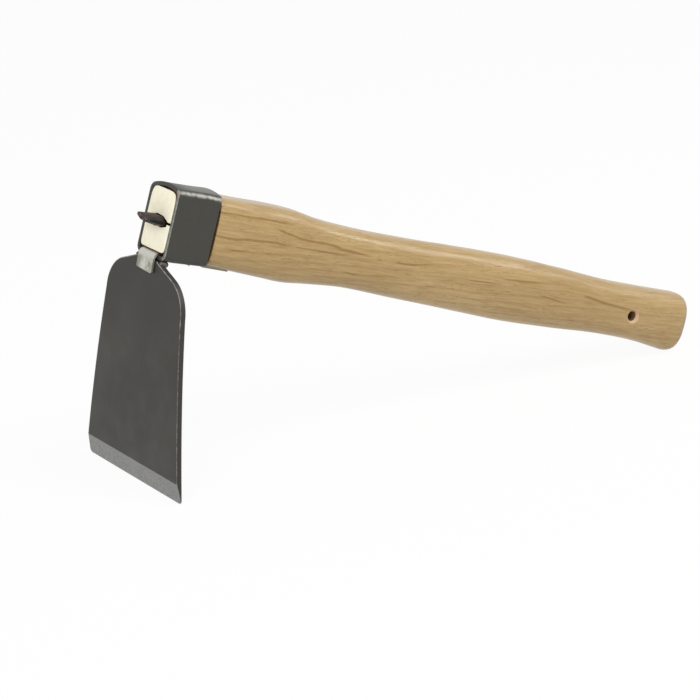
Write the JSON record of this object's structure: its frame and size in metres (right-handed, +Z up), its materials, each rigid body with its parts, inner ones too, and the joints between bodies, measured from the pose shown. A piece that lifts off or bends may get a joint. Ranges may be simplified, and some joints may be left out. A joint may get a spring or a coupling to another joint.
{
  "type": "hand mattock",
  "caption": "Short hand mattock with a flared plate blade under a four-sided socket, wedged on a waisted wooden handle with a hanging hole.",
  "frame": {"origin": "centre of the footprint on the floor, with the tool standing on its cutting edge and its butt as in the picture", "axes": "+X from the blade towards the butt of the handle, +Y across the blade, +Z up"},
  "size_m": [0.3912, 0.0996, 0.1637],
  "materials": {
    "blade_steel": "dark oiled steel plate, ground bright at its edge",
    "socket_steel": "dark steel, worn brighter on top",
    "weld_steel": "bare weld metal",
    "lacquered_wood": "oak under clear gloss lacquer",
    "forged_iron": "forge-scaled iron",
    "zinc_plate": "bright zinc plate, dulled"
  },
  "bodies": {
    "root": {"blade": "blade_steel", "socket": "socket_steel", "neck_weld": "weld_steel", "handle": "lacquered_wood", "kerf_wedge": "forged_iron", "retaining_strap": "zinc_plate"}
  },
  "joints": []
}
